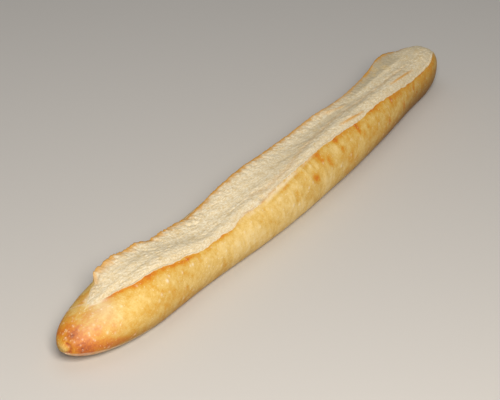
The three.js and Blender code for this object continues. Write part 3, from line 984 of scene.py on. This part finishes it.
# Dried dough bends light like other plant matter; its pores take half of the gloss away.
CRUST_IOR = 1.45
CRUST_SPECULAR = 0.25
CRUST_ROUGHNESS = (0.45, 0.65)
GRAIN_RELIEF_MM = 0.3
GRAIN_STRENGTH = 0.5

speck = add(tree, "ShaderNodeTexNoise",
            {"Vector": place, "Scale": PER_METRE / SPECK_MM, "Detail": SPECK_DETAIL})
flour_and_glint_specks = add(tree, "ShaderNodeMapRange", {"Value": speck.outputs["Fac"], "From Min": SPECK_EDGE[0],
                                           "From Max": SPECK_EDGE[1], "To Max": SPECK_FLOUR_AND_GLINT})
brown_and_shade_share = add(tree, "ShaderNodeMath", {FIRST: shaded, SECOND: LOW_BROWN_SHADE_SHARE}, operation="MULTIPLY")
paleness = add(tree, "ShaderNodeMath", {FIRST: floury_and_lit, SECOND: flour_and_glint_specks.outputs["Result"]},
               operation="MAXIMUM")
coat = ramp.outputs["Color"]
for share, colour in ((brown_and_shade_share, LOW_BROWN_SHADE_COLOUR), (paleness, FLOUR_AND_HIGHLIGHT_COLOUR)):
    layer = add(tree, "ShaderNodeMix",
                {"Factor": share.outputs["Value"], MIX_A: coat, MIX_B: linear(colour)}, data_type="RGBA")
    coat = layer.outputs[MIX_RESULT]
rough = add(tree, "ShaderNodeMapRange", {"Value": grain, "To Min": CRUST_ROUGHNESS[0],
                                         "To Max": CRUST_ROUGHNESS[1]})
bump = add(tree, "ShaderNodeBump", {"Height": grain, "Strength": GRAIN_STRENGTH,
                                    "Distance": GRAIN_RELIEF_MM * MM})
shader = add(tree, "ShaderNodeBsdfPrincipled",
             {"Base Color": coat, "Roughness": rough.outputs["Result"], "IOR": CRUST_IOR,
              "Specular IOR Level": CRUST_SPECULAR, "Normal": bump.outputs["Normal"]})
add(tree, "ShaderNodeOutputMaterial", {"Surface": shader.outputs["BSDF"]})
loaf_mesh.materials.append(crust)
print("crust of", len(tree.nodes), "nodes")

# %% [markdown]
# ## Finish two: torn wheat crumb
# Where the dough tore, it stayed inside the loaf until late, so it is cream, matt and fibrous. Hair could
# stand for the fibres, but they lie flat. So flecks of white and tan are mixed from two noises, one
# roundish and one drawn out at a slant. Below the flecks lie coats of painted shade, of white crumb with
# painted light, and of yellowish crumb.

# %% Crumb: flecks of torn fibre
# The fibres are finer than this; they are drawn as coarse as they need to show. Sizes are x, y and z.
FLECK_MM = [(1.2, 1.6, 1.6), (3.4, 0.8, 0.8)]
FLECK_TURN = 0.3
FLECK_DETAIL = 2.0
UNSCALED = 1.0
FLECK_SPAN = (0.40, 0.60)
FLECK_TAN = "#cfae6e"
FLECK_WHITE = "#f8eed6"

# Torn crumb gives the eye a dry, matt cream with fine pale and tan streaks, toasted along its thin edges.
crumb = new_material("Torn_wheat_crumb")
tree = crumb.node_tree
place, toasted, floury_and_lit, shaded = read_looks(tree)
flecks = []
for sizes in FLECK_MM:
    drawn = add(tree, "ShaderNodeMapping", {"Vector": place, "Rotation": (0, 0, FLECK_TURN),
                                            "Scale": [PER_METRE / size for size in sizes]})
    noise = add(tree, "ShaderNodeTexNoise",
                {"Vector": drawn.outputs["Vector"], "Scale": UNSCALED, "Detail": FLECK_DETAIL})
    flecks.append(noise.outputs["Fac"])
both = add(tree, "ShaderNodeMath", {FIRST: flecks[0], SECOND: flecks[1]}, operation="ADD")
fleck = add(tree, "ShaderNodeMath", {FIRST: both.outputs["Value"], SECOND: len(flecks)}, operation="DIVIDE")
flecked = add(tree, "ShaderNodeMapRange", {"Value": fleck.outputs["Value"], "From Min": FLECK_SPAN[0],
                                           "From Max": FLECK_SPAN[1]})
fibre = add(tree, "ShaderNodeMix", {"Factor": flecked.outputs["Result"], MIX_A: linear(FLECK_TAN),
                                    MIX_B: linear(FLECK_WHITE)}, data_type="RGBA")
print("flecks at", len(FLECK_MM), "sizes")

# %% Crumb: coats, toast and shader
CRUMB_CREAM = "#e7dab8"
# The greyer colour of painted shade in the crumb, for trough, wall, pits and belly.
CRUMB_PAINTED_SHADE = "#b0a588"
PAINTED_SHADE_SHARE = 0.9
# White crumb on the wall of the ear, and painted light on the trough and the back of the belly.
CRUMB_WHITE_AND_LIGHT = "#faefcc"
WHITE_AND_LIGHT_SHARE = 0.9
MOTTLE_COLOUR = "#d8ba78"
MOTTLE_MM = 7.0
MOTTLE_DETAIL = 2.0
MOTTLE_SPAN = (0.5, 0.75)
MOTTLE_SHARE = 0.55
FLECK_SHARE = 0.44
WALL_FLECKS = 0.15
SHADE_FLECKS = -0.25
CRUMB_TOAST = "#d89826"
CRUMB_IOR = 1.4
CRUMB_ROUGHNESS = 0.85
CRUMB_RELIEF_MM = 0.6
CRUMB_STRENGTH = 0.8

mottle = add(tree, "ShaderNodeTexNoise",
             {"Vector": place, "Scale": PER_METRE / MOTTLE_MM, "Detail": MOTTLE_DETAIL})
mottled = add(tree, "ShaderNodeMapRange", {"Value": mottle.outputs["Fac"], "From Min": MOTTLE_SPAN[0],
                                           "From Max": MOTTLE_SPAN[1], "To Max": MOTTLE_SHARE})
painted_crumb_shade = add(tree, "ShaderNodeMath", {FIRST: shaded, SECOND: PAINTED_SHADE_SHARE}, operation="MULTIPLY")
whiter = add(tree, "ShaderNodeMath", {FIRST: floury_and_lit, SECOND: WHITE_AND_LIGHT_SHARE}, operation="MULTIPLY")
wall_flecks = add(tree, "ShaderNodeMath", {FIRST: floury_and_lit, SECOND: WALL_FLECKS, THIRD: FLECK_SHARE},
                  operation="MULTIPLY_ADD")
fleck_share = add(tree, "ShaderNodeMath",
                  {FIRST: shaded, SECOND: SHADE_FLECKS, THIRD: wall_flecks.outputs["Value"]},
                  operation="MULTIPLY_ADD")
coat = linear(CRUMB_CREAM)
coats = [(painted_crumb_shade.outputs["Value"], linear(CRUMB_PAINTED_SHADE)), (whiter.outputs["Value"], linear(CRUMB_WHITE_AND_LIGHT)),
         (mottled.outputs["Result"], linear(MOTTLE_COLOUR)),
         (fleck_share.outputs["Value"], fibre.outputs[MIX_RESULT]), (toasted, linear(CRUMB_TOAST))]
for share, colour in coats:
    layer = add(tree, "ShaderNodeMix", {"Factor": share, MIX_A: coat, MIX_B: colour}, data_type="RGBA")
    coat = layer.outputs[MIX_RESULT]
bump = add(tree, "ShaderNodeBump", {"Height": fleck.outputs["Value"], "Strength": CRUMB_STRENGTH,
                                    "Distance": CRUMB_RELIEF_MM * MM})
shader = add(tree, "ShaderNodeBsdfPrincipled", {"Base Color": coat, "Roughness": CRUMB_ROUGHNESS,
                                                "IOR": CRUMB_IOR, "Normal": bump.outputs["Normal"]})
add(tree, "ShaderNodeOutputMaterial", {"Surface": shader.outputs["BSDF"]})
loaf_mesh.materials.append(crumb)
loaf_mesh.polygons.foreach_set("material_index", slots)
print("finishes:", [m.name for m in loaf_mesh.materials])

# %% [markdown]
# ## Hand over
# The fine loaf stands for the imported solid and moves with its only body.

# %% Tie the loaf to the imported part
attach(loaf, "root")
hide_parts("loaf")
